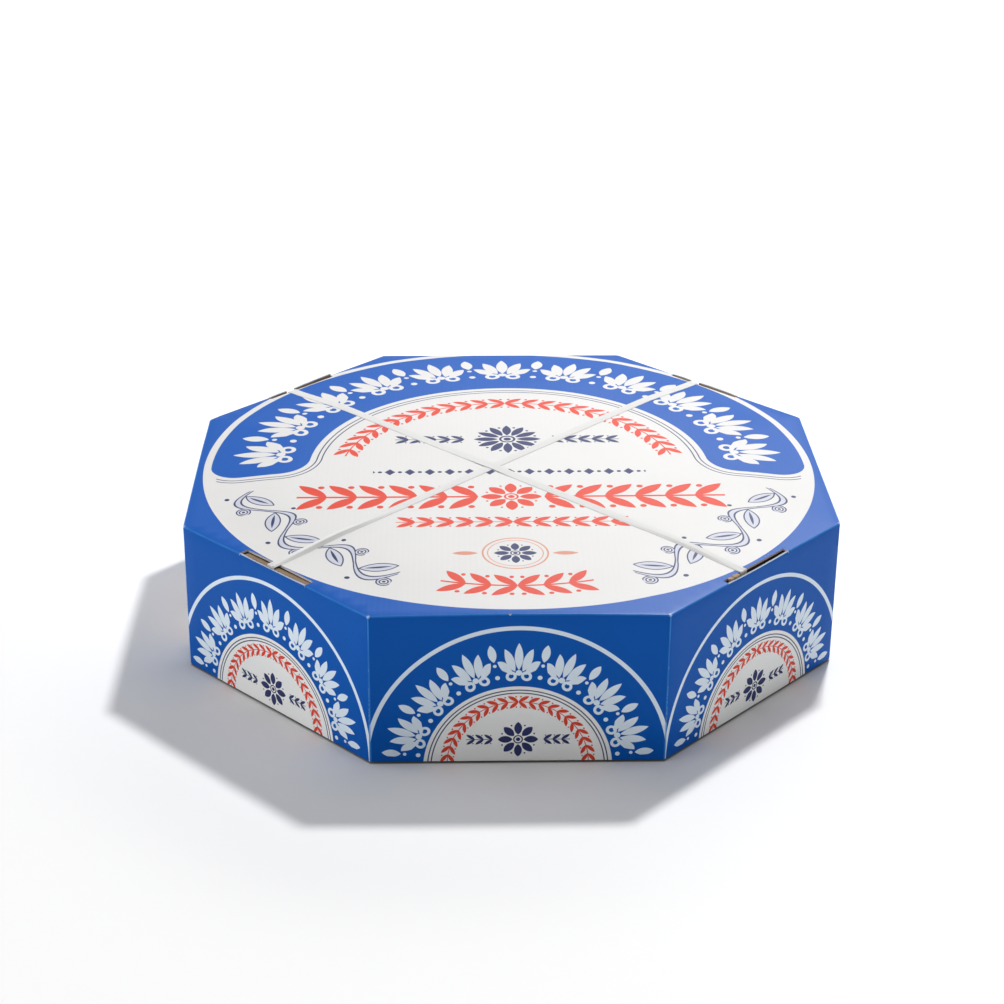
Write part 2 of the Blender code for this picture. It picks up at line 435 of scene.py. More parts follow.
# The ornament inside the crescent and in front of it, by its distance from the lid's middle
WREATH_ROW = -5.0
WREATH_RADIUS = 78.0
WREATH_PITCH_RADIUS = 76.0
SUN_ROW = 29.0
BEAD_ROW = -7.5
BEAD_STEP = 9.2
BEADS_END = 63.0
BOUGH_ROW = -34.0
SPRIG_ROW = -59.5
MEDAL_ROW = -89.5
MEDAL_RADIUS = 14.0
MEDAL_INNER_RADIUS = 11.9
MEDAL_LEAF_PLACE = 21.5


def lid_crescent(side, y, radius, angle):
    """The blue crescent round the back of the field, whose ends are rounded."""
    hollow = HOLLOW_RADIUS - length(side, y - HOLLOW_CENTRE)
    past_side = overlap(radius - CRESCENT_RADIUS, hollow) + CRESCENT_ROUNDING
    past_end = (angle - CRESCENT_END) * radius + CRESCENT_ROUNDING
    beyond = length(past_side.maths("MAXIMUM", 0.0), past_end.maths("MAXIMUM", 0.0))
    inside = overlap(past_side, past_end).maths("MINIMUM", 0.0)
    return inside + beyond - CRESCENT_ROUNDING


def lid_colour(shader, x, y):
    """The print of the lid: blue ground, off-white field, and ornament in white, red and navy."""
    side = abs(x)
    up = y - FIELD_CENTRE
    radius = length(side, up)
    angle = side.maths("ARCTAN2", up)

    colour = shader.blend(BLUE, OFF_WHITE, ink(radius - FIELD_RADIUS))
    crescent = lid_crescent(side, y, radius, angle)
    colour = shader.blend(colour, BLUE, ink(crescent))
    row = overlap(frieze(angle, radius, *LID_FRIEZE), (angle - LID_FRIEZE_END) * radius)
    colour = shader.blend(colour, OFF_WHITE, ink(row))
    border = union(*(line(crescent - gap, BORDER_WIDTH) for gap in BORDER_GAPS))
    border = overlap(border, radius - BORDER_RADIUS)

    from_wreath = y - WREATH_ROW
    around = side.maths("ARCTAN2", from_wreath) * WREATH_PITCH_RADIUS
    beside = length(side, from_wreath) - WREATH_RADIUS
    wreath = garland(around, beside, pitch=8.0, spread=5.9, count=13)
    from_sun = y - SUN_ROW
    sun = rosette(x, from_sun, radius=16.0, count=12)
    twig = garland(side, from_sun, pitch=6.6, spread=4.2, count=5, start=20.5)
    from_beads = y - BEAD_ROW
    beads = union(
        lozenge(near_repeat(side, BEAD_STEP), from_beads, half_width=2.5, half_height=3.2),
        disc(near_repeat(side - BEAD_STEP / 2, BEAD_STEP), from_beads, radius=1.0),
    )
    beads = overlap(beads, side - BEADS_END)
    from_bough = y - BOUGH_ROW
    flower = rosette(x, from_bough, radius=13.8, count=8)
    bough = garland(side, from_bough, pitch=13.6, spread=12.4, count=6, start=15.0)
    sprig = garland(side, y - SPRIG_ROW, pitch=8.6, spread=4.9, count=6)

    from_medal = y - MEDAL_ROW
    out = length(x, from_medal)
    medal = union(
        line(out - MEDAL_RADIUS, width=0.8), line(out - MEDAL_INNER_RADIUS, width=0.45),
        petal(from_medal, side - MEDAL_LEAF_PLACE, half_width=1.7, half_length=5.6),
    )
    colour = shader.blend(colour, PALE_RED, ink(medal))
    star = rosette(x, from_medal, radius=9.2, count=8)

    around = (math.pi - angle) * SWAG_RADIUS
    swag = garland(around, radius - SWAG_RADIUS, pitch=10.8, spread=8.6, count=3)
    along = (angle - VINE_MIDDLE) * SWAG_RADIUS
    across = radius - VINE_RADIUS
    outside = overlap(abs(along) - VINE_HALF_LENGTH, abs(across) - VINE_HALF_WIDTH)
    shape, lines = vine(along + VINE_HALF_LENGTH, across, half_wave=22.0, swing=8.6)
    lines = overlap(lines, outside)
    colour = shader.blend(colour, PALE_NAVY, ink(overlap(shape, outside)))

    red = union(wreath, bough, flower, sprig, swag)
    navy = union(border, sun, twig, beads, star, lines)
    colour = shader.blend(colour, RED, ink(red))
    return shader.blend(colour, NAVY, ink(navy))


# The print of a skirt; the frieze is described as the lid's is

SKIRT_FRIEZE = (40.6, 16.6, math.radians(24.1))
SKIRT_FRIEZE_END = math.radians(86)
ARCH_CENTRE = 0.4
ARCH_RADIUS = 63.3
ARCH_WIDTH = 1.85
PLATE_CENTRE = -2.7
PLATE_RADIUS = 39.7
RING_RADII = (37.9, 36.5)
RING_WIDTH = 0.5
SKIRT_WREATH_RADIUS = 29.6
SKIRT_SUN_HEIGHT = 11.5


def skirt_colour(shader, u, v):
    """The print of a skirt: a white arch over a half disc, with ornament between them."""
    side = abs(u)
    radius = length(side, v)
    angle = side.maths("ARCTAN2", v)
    row = overlap(frieze(angle, radius, *SKIRT_FRIEZE), (angle - SKIRT_FRIEZE_END) * radius)
    arch = line(length(side, v - ARCH_CENTRE) - ARCH_RADIUS, ARCH_WIDTH)
    plate = length(side, v - PLATE_CENTRE)
    colour = shader.blend(BLUE, ARCH_WHITE, ink(union(arch, row)))
    colour = shader.blend(colour, SKIRT_WHITE, ink(plate - PLATE_RADIUS))
    rings = union(*(line(plate - ring, RING_WIDTH) for ring in RING_RADII))
    around = angle * SKIRT_WREATH_RADIUS
    wreath = garland(around, radius - SKIRT_WREATH_RADIUS, pitch=4.2, spread=3.0, count=11)
    from_sun = v - SKIRT_SUN_HEIGHT
    sun = rosette(u, from_sun, radius=8.4, count=8)
    twig = garland(side, from_sun, pitch=3.7, spread=2.4, count=3, start=10.6)
    colour = shader.blend(colour, RED, ink(wreath))
    return shader.blend(colour, NAVY, ink(union(rings, sun, twig)))


# Finishes

def new_finish(name, roughness, **constants):
    material = bpy.data.materials.new(name)
    shader = Shader(material)
    surface = shader.tree.nodes["Principled BSDF"]
    surface.inputs["Roughness"].default_value = roughness
    for socket, value in constants.items():
        surface.inputs[socket.replace("_", " ")].default_value = value
    return material, shader, surface


def object_place(shader):
    return shader.node("ShaderNodeTexCoord", output="Object")


def speckle(shader, place, size, detail=3.0):
    """Noise from 0 to 1 whose features have that size."""
    return shader.node(
        "ShaderNodeTexNoise", {"Vector": place, "Scale": 1 / size, "Detail": detail},
    )


def attribute(shader, name):
    return shader.node("ShaderNodeAttribute", output="Vector", attribute_name=name)


def bump(shader, height, distance):
    return shader.node(
        "ShaderNodeBump", {"Height": height, "Distance": distance, "Strength": 1.0}, output="Normal",
    )


def wear_and_highlight(shader, colour, crease, end, place):
    """Ink rubbed pale at the corners, and a paler blue along the creases that is partly wear and
    partly a painted highlight.
    """
    patch = speckle(shader, place, 6 * MM)
    # Along the creases: partly rubbed ink, partly a painted highlight of the rounded crease.
    colour = shader.blend(colour, WORN_AND_HIGHLIT_BLUE, ink(crease - 0.5, 0.6) * (patch * 0.5 + 0.15))
    return shader.blend(colour, ARCH_WHITE, ink(length(crease, end) - 0.75, 0.7) * 0.6)


def printed_finish(name, pattern, source, gloss):
    """Varnished print on board, whose flutes show faintly through it."""
    material, shader, surface = new_finish(name, 0.32, Specular_IOR_Level=gloss)
    place = object_place(shader)
    _, crease, flute = shader.split(attribute(shader, "board"))
    mottle = speckle(shader, place, 30 * MM)
    fibre = speckle(shader, place, 0.5 * MM)
    u, v, end = shader.split(attribute(shader, "panel"))
    if source == "place":
        u, v, _ = shader.split(place)
    colour = pattern(shader, u * TO_MM, v * TO_MM)
    if source == "panel":
        colour = shader.blend(colour, WORN_AND_HIGHLIT_BLUE, ink(end * TO_MM - 0.35, 0.2) * 0.5)
    colour = wear_and_highlight(shader, colour, crease * TO_MM, end * TO_MM, place)
    colour = shader.shade(colour, 0.955 + mottle * 0.06 + fibre * 0.02)
    shader.feed(surface.inputs["Base Color"], colour)
    shader.feed(surface.inputs["Roughness"], 0.26 + mottle * 0.10 + fibre * 0.04)
    ripple = (flute * FLUTE_TURN).maths("SINE")
    height = ripple * 0.25 + fibre * 0.5 + mottle
    shader.feed(surface.inputs["Normal"], bump(shader, height, 0.02 * MM))
    return material


def grey(shader, value):
    return shader.node("ShaderNodeCombineColor", {0: value, 1: value, 2: value})


def kraft_finish(name, scale, painted_shade=False):
    """Uncoated brown board with fibres and flecks; with painted shade, all but its underside is
    painted near black.
    """
    material, shader, surface = new_finish(name, 0.85)
    place = object_place(shader)
    fibre = speckle(shader, place, 0.6 * MM * scale, 5.0)
    fleck = speckle(shader, place, 0.35 * MM)
    cloud = speckle(shader, place, 18 * MM)
    colour = shader.blend(KRAFT, KRAFT_PALE, ink(0.62 - fibre, 0.4) * 0.5)
    colour = shader.blend(colour, KRAFT_DARK, ink(fleck - 0.33, 0.06) * 0.6)
    colour = shader.blend(colour, KRAFT_DARK, cloud * 0.15)
    # Painted shade: the tray above its underside is painted near black, standing in for the shade
    # under the lid and in the slots.
    if painted_shade:
        _, _, height = shader.split(place)
        colour = shader.blend(colour, KRAFT_PAINTED_SHADE, ink(0.1 - height * TO_MM, 0.1))
    shader.feed(surface.inputs["Base Color"], colour)
    shader.feed(surface.inputs["Roughness"], 0.78 + fibre * 0.18)
    shader.feed(surface.inputs["Normal"], bump(shader, fibre + fleck * 0.4, 0.06 * MM))
    return material


def cut_edge_finish(name, dark, pale, liner_colour):
    """The cut edge of the board: two liners with a fluted layer between them."""
    material, shader, surface = new_finish(name, 0.8)
    place = object_place(shader)
    depth, _, _ = shader.split(attribute(shader, "board"))
    along, _, _ = shader.split(attribute(shader, "panel"))
    depth = depth * TO_MM
    fibre = speckle(shader, place, 0.4 * MM)
    wave = (along * FLUTE_TURN).maths("SINE")
    paper = ink(abs(depth - (0.55 + wave * 0.25)) - 0.14, 0.14)
    liner = ink(union(depth - 0.34, 0.86 - depth), 0.14)
    colour = shader.blend(dark, pale, paper)
    colour = shader.blend(colour, liner_colour, liner * (0.75 + fibre * 0.3))
    shader.feed(surface.inputs["Base Color"], colour)
    shader.feed(surface.inputs["Normal"], bump(shader, fibre + paper, 0.08 * MM))
    return material


def elastic_finish():
    """Matt white woven elastic: ribs along it and fine threads across."""
    material, shader, surface = new_finish("woven_elastic", 0.85, Sheen_Weight=0.15)
    along, across, _ = shader.split(attribute(shader, "weave"))
    place = object_place(shader)
    thread = (along * (2 * math.pi / (0.55 * MM))).maths("SINE")
    rib = (across * (2 * math.pi * STRAP_RIBS)).maths("COSINE")
    fluff = speckle(shader, place, 0.3 * MM)
    colour = shader.shade(ELASTIC, 0.93 + rib * 0.03 + thread * 0.02 + fluff * 0.06)
    shader.feed(surface.inputs["Base Color"], colour)
    shader.feed(surface.inputs["Roughness"], 0.8 + fluff * 0.15)
    shader.feed(surface.inputs["Normal"], bump(shader, thread * 0.5 + fluff, 0.05 * MM))
    return material


# Modelling by operators

def choose(*chosen):
    """Selects these objects alone; the last one is active."""
    bpy.ops.object.select_all(action="DESELECT")
    for item in chosen:
        item.select_set(True)
    bpy.context.view_layer.objects.active = chosen[-1]


def edit(target):
    choose(target)
    bpy.ops.object.mode_set(mode="EDIT")


def done():
    bpy.ops.object.mode_set(mode="OBJECT")


def pick(target, kind, test):
    """In edit mode, selects the elements of one kind that pass a test."""
    bpy.ops.mesh.select_mode(type=kind)
    bpy.ops.mesh.select_all(action="DESELECT")
    shape = bmesh.from_edit_mesh(target.data)
    for item in {"VERT": shape.verts, "EDGE": shape.edges, "FACE": shape.faces}[kind]:
        item.select_set(test(item))
    shape.select_flush_mode()
    bmesh.update_edit_mesh(target.data)


def apply_modifier(target, kind, **settings):
    choose(target)
    modifier = target.modifiers.new(kind.lower(), kind)
    for name, value in settings.items():
        setattr(modifier, name, value)
    bpy.ops.object.modifier_apply(modifier=modifier.name)


def place_mesh(target, matrix=None):
    """Puts an object's place into its mesh."""
    if matrix is not None:
        target.matrix_world = matrix
    choose(target)
    bpy.ops.object.transform_apply(location=True, rotation=True, scale=True)
    return target


def block(name, low, high, material=None):
    """A cuboid between two corners."""
    low, high = Vector(low), Vector(high)
    bpy.ops.mesh.primitive_cube_add(size=1, location=(low + high) / 2)
    made = bpy.context.object
    made.name = name
    made.scale = high - low
    if material:
        made.data.materials.append(material)
    return place_mesh(made)


def join(name, pieces):
    choose(*pieces)
    bpy.ops.object.join()
    pieces[-1].name = name
    return pieces[-1]


def cut(target, tools, operation):
    apply_modifier(
        target, "BOOLEAN", operation=operation, solver="EXACT", object=tools,
        material_mode="TRANSFER",
    )
    bpy.data.objects.remove(tools)


def is_upright(edge):
    side = edge.verts[1].co - edge.verts[0].co
    return abs(side.z) > 0.9 * side.length


def octagon_block(name, inset, low, high):
    """A cuboid whose four upright edges are cut off, set in from the lid's outline."""
    half_width, half_depth = HALF_WIDTH - inset, HALF_DEPTH - inset
    made = block(name, (-half_width, -half_depth, low), (half_width, half_depth, high))
    edit(made)
    pick(made, "EDGE", is_upright)
    bpy.ops.mesh.bevel(offset=CORNER_CUT - inset * (2 - math.sqrt(2)), segments=1, affect="EDGES")
    done()
    return made


def round_edges(target, test, radius, segments):
    edit(target)
    pick(target, "EDGE", test)
    bpy.ops.mesh.bevel(offset=radius, segments=segments, affect="EDGES")
    done()


def slice_mesh(target, places, normal):
    """Cuts edges into a mesh along parallel planes."""
    edit(target)
    for place in places:
        bpy.ops.mesh.select_all(action="SELECT")
        bpy.ops.mesh.bisect(plane_co=Vector(normal) * place, plane_no=normal, threshold=NEAR)
    done()


def smooth(target, degrees=35):
    choose(target)
    bpy.ops.object.shade_smooth_by_angle(angle=math.radians(degrees))


def ride(target, slot, *nodes):
    """Hands a finished piece to the frame."""
    if nodes:
        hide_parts(*nodes)
    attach(target, "root")


# Places on the box

def smooth_step(share):
    share = min(1.0, max(0.0, share))
    return share * share * (3 - 2 * share)


def outline_frame(outward, place):
    """Axes on the outline: x along it, y inwards, z up."""
    across = Vector((-outward.y, outward.x, 0))
    axes = Matrix((across, -outward, (0, 0, 1))).transposed().to_4x4()
    axes.translation = place
    return axes


def side_middle(outward, height):
    """The middle of the diagonal side that looks that way."""
    return Vector((
        math.copysign(SIDE_MIDDLE_X, outward.x), math.copysign(SIDE_MIDDLE_Y, outward.y), height,
    ))


def side_frame(facing):
    """Axes on a diagonal crease: x along it, y inwards from the skirt's face, z up from the lid."""
    turn = math.radians(facing)
    outward = Vector((math.cos(turn), math.sin(turn), 0))
    return outline_frame(outward, side_middle(outward, TOP))


def corner_frame(corner):
    """Axes on a corner of the outline: x across the slit, y inwards along the bisector."""
    angle = math.radians(67.5 if abs(corner.y) > abs(corner.x) else 22.5)
    outward = Vector((
        math.copysign(math.cos(angle), corner.x), math.copysign(math.sin(angle), corner.y), 0,
    ))
    return outline_frame(outward, corner)


def outline_corners():
    corners = []
    for sign_x in (-1, 1):
        for sign_y in (-1, 1):
            corners.append(Vector((sign_x * (HALF_WIDTH - CORNER_CUT), sign_y * HALF_DEPTH, 0)))
            corners.append(Vector((sign_x * HALF_WIDTH, sign_y * (HALF_DEPTH - CORNER_CUT), 0)))
    return corners


def panels():
    """Each skirt: its normal, the way along it, its distance out, half width and middle."""
    made = []
    reach_out = (SIDE_MIDDLE_X + SIDE_MIDDLE_Y) / math.sqrt(2)
    for step in range(8):
        turn = math.radians(45 * step)
        outward = Vector((math.cos(turn), math.sin(turn), 0))
        along = Vector((-outward.y, outward.x, 0))
        if step % 2:
            distance, half, middle = reach_out, CORNER_CUT / math.sqrt(2), side_middle(outward, 0)
        elif step % 4:
            distance, half, middle = HALF_DEPTH, HALF_WIDTH - CORNER_CUT, outward * HALF_DEPTH
        else:
            distance, half, middle = HALF_WIDTH, HALF_DEPTH - CORNER_CUT, outward * HALF_WIDTH
        made.append((outward, along, distance, half, middle))
    return made


PANELS = panels()


def nearest_panel(place):
    return max(PANELS, key=lambda panel: place.dot(panel[0]) - panel[2])


def lid_rise(x, y):
    """How much the lid's face rises: it bulges, waves, and is lifted at a slot and the front."""
    wave = noise.noise(Vector((x, y, 0.37)) / WAVE_SIZE) * WAVE_RISE
    across, inward, _ = side_frame(225).inverted() @ Vector((x, y, TOP))
    beside = (across - SLOT_LIFT_PLACE) / SLOT_LIFT_SPREAD
    lift = math.exp(-beside ** 2 - (max(inward, 0.0) / SLOT_LIFT_REACH) ** 2)
    inside = -outline_gap(Vector((x, y, 0)))
    edge = min(1.0, max(0.0, inside / WAVE_REACH))
    bow = max(0.0, 1 - (x / (HALF_WIDTH - CORNER_CUT)) ** 2)
    bow *= smooth_step((-y - FRONT_BOW_START) / FRONT_BOW_REACH)
    bulge = smooth_step(inside / BULGE_REACH)
    return wave * edge + lift * SLOT_LIFT + BULGE * bulge + FRONT_BOW * bow


def outline_gap(place):
    """The distance outside the octagon, which is negative inside it."""
    return max(place.x * n.x + place.y * n.y - d for n, _, d, _, _ in PANELS)


# The lid

def slit_tool(corner, material):
    """A thin blade for the groove where two skirts meet, which steps sideways near the top."""
    half = SLIT_WIDTH / 2
    low, high = (-half, -OVERSHOOT, -OVERSHOOT), (half, SLIT_DEPTH, SLIT_JOG_HEIGHT)
    blade = block("slit", low, high, material)
    edit(blade)
    pick(blade, "FACE", lambda face: face.normal.z > 0.9)
    bpy.ops.mesh.extrude_region_move(TRANSFORM_OT_translate={"value": (-SLIT_JOG, 0, SLIT_JOG_RISE)})
    rest = SLIT_TOP - SLIT_JOG_HEIGHT - SLIT_JOG_RISE
    bpy.ops.mesh.extrude_region_move(TRANSFORM_OT_translate={"value": (0, 0, rest)})
    bpy.ops.mesh.select_all(action="SELECT")
    bpy.ops.mesh.normals_make_consistent(inside=False)
    done()
    return place_mesh(blade, corner_frame(corner))


def slot_tool(facts, material, floor_material):
    half = SLOT_LENGTH / 2
    depth = BOARD + 0.1 * MM
    tool = block("slot", (-half, -OVERSHOOT, -depth), (half, facts["reach"], OVERSHOOT), material)
    round_edges(
        tool, lambda edge: is_upright(edge) and edge.verts[0].co.y > OVERSHOOT, 0.9 * MM, 3,
    )
    tool.data.materials.append(floor_material)
    for face in tool.data.polygons:
        face.material_index = int(face.normal.z < -0.9)
    return place_mesh(tool, side_frame(facts["facing"]))


def nick_tool(material):
    half = NICK_WIDTH / 2
    tool = block("nick", (-half, -half, -half), (half, half, half), material)
    turn = Matrix.Rotation(math.radians(45), 4, "Y")
    shift = Matrix.Translation((NICK_PLACE, -HALF_DEPTH - NICK_WIDTH / 4, TOP + NICK_WIDTH / 4))
    return place_mesh(tool, shift @ turn)


def lip(facts, start, end, heights, materials):
    """The edge of a skirt that stands in a slot, with an uneven height along it."""
    start, end = start * MM + LIP_END_GAP, end * MM - LIP_END_GAP
    low = -2 * BOARD
    made = block("lip", (start, LIP_INSET, low), (end, BOARD - LIP_INSET, -0.1 * MM))
    for material in materials:
        made.data.materials.append(material)
    places = [start + (end - start) * number / LIP_STEPS for number in range(1, LIP_STEPS)]
    slice_mesh(made, places, (1, 0, 0))
    for vert in made.data.vertices:
        if vert.co.z > low + 0.1 * MM:
            share = (vert.co.x - start) / (end - start) * (len(heights) - 1)
            first = min(int(share), len(heights) - 2)
            blend = smooth_step(share - first)
            vert.co.z = (heights[first] * (1 - blend) + heights[first + 1] * blend) * MM
    for face in made.data.polygons:
        if face.normal.z > 0.5 or abs(face.normal.x) > 0.5:
            face.material_index = 2
        elif face.normal.y > 0.5:
            face.material_index = 1
    return place_mesh(made, side_frame(facts["facing"]))


def grid_places(middle, reach):
    """Places of a grid that has a line through the middle of the diagonal sides."""
    steps = range(-20, 20)
    places = {round(sign * (middle + step * CELL), 7) for step in steps for sign in (-1, 1)}
    return sorted(place for place in places if abs(place) < reach - 2 * MM)


def map_board(lid):
    """Notes on the mesh where each point is on the board, for the print and the cut edges.

    panel: along the skirt from its middle, height, and distance from the skirt's end. The first
    two are those of the print, which differs on the diagonals; a cut end has its height in both.
    board: depth under the printed face, distance from the crease, and place across the flutes.
    """
    mesh = lid.data
    board = mesh.attributes.new("board", "FLOAT_VECTOR", "POINT")
    for vert, cell in zip(mesh.vertices, board.data):
        place = vert.co
        fall = TOP - place.z
        inward = -outline_gap(place)
        outward = nearest_panel(place)[0]
        on_skirt = min(1.0, max(0.0, 1 - (inward - BOARD) / (2 * BOARD)))
        cell.vector = (min(fall, inward), max(fall, inward), place.x + outward.x * fall * on_skirt)
    panel = mesh.attributes.new("panel", "FLOAT_VECTOR", "CORNER")
    for face in mesh.polygons:
        outward, along, _, half, middle = nearest_panel(face.center)
        is_diagonal = 0.5 < abs(outward.x) < 0.9
        size = DIAGONAL_PRINT_SIZE if is_diagonal else 1.0
        shift = math.copysign(DIAGONAL_PRINT_SHIFT, along.y) if is_diagonal else 0.0
        sideways = abs(face.normal.dot(along)) > 0.7 and abs(face.normal.z) < 0.3
        for corner in face.loop_indices:
            place = mesh.vertices[mesh.loops[corner].vertex_index].co
            u = (place - middle).dot(along)
            first, second = place.z, place.z
            if not sideways:
                first = (u - shift) / size
                second = place.z / size
            panel.data[corner].vector = (first, second, half - abs(u))


def warp_lid(lid):
    """Board bends a little: the face waves, and the skirts stand off towards their feet."""
    for vert in lid.data.vertices:
        place = vert.co.copy()
        outward, along, distance, _, middle = nearest_panel(place)
        share = smooth_step((place.z - (TOP - SKIRT_BEND_HEIGHT)) / SKIRT_BEND_HEIGHT)
        rise = lid_rise(place.x, place.y) * share
        inward = distance - place.dot(outward)
        if inward < SKIRT_BEND_DEPTH:
            u = (place - middle).dot(along)
            down = smooth_step((SLIT_TOP - place.z) / SLIT_TOP)
            bow = noise.noise(Vector((u * 14, distance * 40 + outward.x * 3, outward.y * 5)))
            vert.co += outward * (down * (0.35 + 0.3 * bow) * MM)
        vert.co.z += rise
        if place.x < -HALF_WIDTH + DENT_DEPTH:
            dent = math.exp(-((place.y - DENT_PLACE) / DENT_HALF_LENGTH) ** 2)
            vert.co.x += DENT * dent * smooth_step((place.z - DENT_FOOT) / DENT_RISE)


def is_outer_crease(edge):
    a, b = (vert.co for vert in edge.verts)
    outside = all(outline_gap(place) > -NEAR for place in (a, b))
    return outside and (is_upright(edge) or min(a.z, b.z) > TOP - NEAR)


def model_lid(finishes):
    lid = octagon_block("lid_skin", 0.0, SKIRT_FOOT, TOP)
    for name in ("lid_print", "liner", "cut_edge", "skirt_print", "lip_edge"):
        lid.data.materials.append(finishes[name])
    edit(lid)
    pick(lid, "FACE", lambda face: face.normal.z < -0.9)
    bpy.ops.mesh.delete(type="FACE")
    done()
    apply_modifier(
        lid, "SOLIDIFY", thickness=BOARD, offset=-1, use_even_offset=True,
        material_offset=1, material_offset_rim=2,
    )
    round_edges(lid, is_outer_crease, CREASE_RADIUS, 3)
    slice_mesh(lid, grid_places(SIDE_MIDDLE_X, HALF_WIDTH), (1, 0, 0))
    slice_mesh(lid, grid_places(SIDE_MIDDLE_Y, HALF_DEPTH), (0, 1, 0))
    rows = [SKIRT_FOOT + (TOP - SKIRT_FOOT) * row / SKIRT_CELLS for row in range(1, SKIRT_CELLS)]
    slice_mesh(lid, rows, (0, 0, 1))
    edge = finishes["cut_edge"]
    tools = [slit_tool(corner, finishes["skirt_print"]) for corner in outline_corners()]
    tools += [slot_tool(facts, edge, finishes["skirt_print"]) for facts in SIDES.values()]
    tools.append(nick_tool(edge))
    cut(lid, join("lid_tools", tools), "DIFFERENCE")
    skins = (finishes["skirt_print"], finishes["liner"], finishes["lip_edge"])
    lips = []
    for facts in SIDES.values():
        for start, end, heights in facts["lips"]:
            lips.append(lip(facts, start, end, heights, skins))
    cut(lid, join("lid_lips", lips), "UNION")
    tidy_finishes(lid, finishes)
    map_board(lid)
    warp_lid(lid)
    smooth(lid)
    ride(lid, "printed_board", "lid")


def tidy_finishes(lid, finishes):
    """Leaves the lid one slot for each finish, with the skirts' print on the skirts."""
    mesh = lid.data
    order = ["lid_print", "skirt_print", "liner", "cut_edge", "lip_edge"]
    names = [finishes[name].name for name in order]
    wanted = [names.index(mesh.materials[face.material_index].name) for face in mesh.polygons]
    mesh.materials.clear()
    for name in order:
        mesh.materials.append(finishes[name])
    for face, index in zip(mesh.polygons, wanted):
        if index < 2:
            index = 0 if face.normal.z > 0.8 else 1
        face.material_index = index


# The tray, of which the foot and the tabs in the slots show

def is_tray_edge(edge):
    """An upright edge, or one round the foot."""
    return is_upright(edge) or all(vert.co.z < NEAR for vert in edge.verts)


def model_tray(finishes):
    inset = lid_high.x - tray_high.x
    tray = octagon_block("tray_body", inset, 0.0, tray_high.z)
    tray.data.materials.append(finishes["kraft"])
    round_edges(tray, is_tray_edge, TRAY_EDGE_RADIUS, 2)
    slice_mesh(tray, TRAY_CUTS, (1, 0, 0))
    slice_mesh(tray, TRAY_CUTS, (0, 1, 0))
    half = SLOT_LENGTH / 2
    tools = []
    for facts in SIDES.values():
        pocket = block(
            "pocket", (-half, inset - OVERSHOOT, -POCKET_DEPTH),
            (half, facts["reach"] + 0.2 * MM, OVERSHOOT), finishes["kraft"],
        )
        tools.append(place_mesh(pocket, side_frame(facts["facing"])))
    cut(tray, join("pockets", tools), "DIFFERENCE")
    smooth(tray)
    ride(tray, "kraft_board", "tray")


def model_tab(finishes):
    """Three layers of fluted board that stand in the front left slot, each lower than the last."""
    start, end, top, bottom = -19.4 * MM, 20.4 * MM, -0.25 * MM, -POCKET_DEPTH
    pieces = []
    for layer, inner in enumerate(TAB_LAYERS):
        outer = inner + TAB_LAYER
        fall = TAB_FALL * layer ** 2
        for near, far in ((inner, inner + TAB_LINER), (outer - TAB_LINER, outer)):
            pieces.append(block("liner", (start, near, bottom), (end, far, top - fall)))
        pieces.append(fluted_sheet(start, end, (inner + outer) / 2, top - fall, bottom))
    tab = join("tray_tab", pieces)
    tab.data.materials.clear()
    tab.data.materials.append(finishes["tab"])
    place_mesh(tab, side_frame(225))
    smooth(tab)
    ride(tab, "kraft_board")


def fluted_sheet(start, end, middle, top, bottom):
    """The wavy layer between two liners, as a standing sheet."""
    bpy.ops.mesh.primitive_grid_add(x_subdivisions=FLUTE_STEPS, y_subdivisions=1, size=1)
    sheet = bpy.context.object
    for vert in sheet.data.vertices:
        along = start + (end - start) * (vert.co.x + 0.5)
        across = middle + FLUTE_SWING * math.sin(along * FLUTE_TURN)
        vert.co = (along, across, top - 0.05 * MM if vert.co.y > 0 else bottom)
    apply_modifier(sheet, "SOLIDIFY", thickness=0.14 * MM, offset=0.0)
    return sheet


def model_scraps(finishes):
    """Crumpled ends of board in the front right slot."""
    scraps = []
    for number, (along, inward, height, size) in enumerate((
        (-16.9, 2.2, -0.5, (1.7, 1.2, 1.0)),
        (-14.4, 2.0, -0.3, (1.6, 1.3, 1.2)),
        (-12.0, 2.3, -0.6, (1.3, 1.1, 0.9)),
    )):
        bpy.ops.mesh.primitive_cube_add(size=1)
        scrap = bpy.context.object
        scrap.scale = [side * MM * 1.3 for side in size]
        place_mesh(scrap)
        edit(scrap)
        bpy.ops.mesh.select_all(action="SELECT")
        bpy.ops.mesh.subdivide(number_cuts=5, smoothness=0.4)
        done()
        for vert in scrap.data.vertices:
            ask = vert.co * 900 + Vector((number * 7.1, 0, 0))
            vert.co += noise.noise_vector(ask) * 0.34 * MM
            vert.co += Vector((along, inward, height)) * MM
        scraps.append(scrap)
    scrap = join("tray_scraps", scraps)
    scrap.data.materials.append(finishes["tab"])
    place_mesh(scrap, side_frame(315))
    smooth(scrap, 60)
    ride(scrap, "kraft_board")


# The straps

def strap_end(side):
    facts = SIDES[side]
    return side_frame(facts["facing"]) @ Vector((facts["strap"], 0, 0))


def meeting_point(first, second):
    a, b = map(strap_end, first)
    c, d = map(strap_end, second)
    u, v, w = b - a, d - c, c - a
    share = (w.x * v.y - w.y * v.x) / (u.x * v.y - u.y * v.x)
    return a + u * share


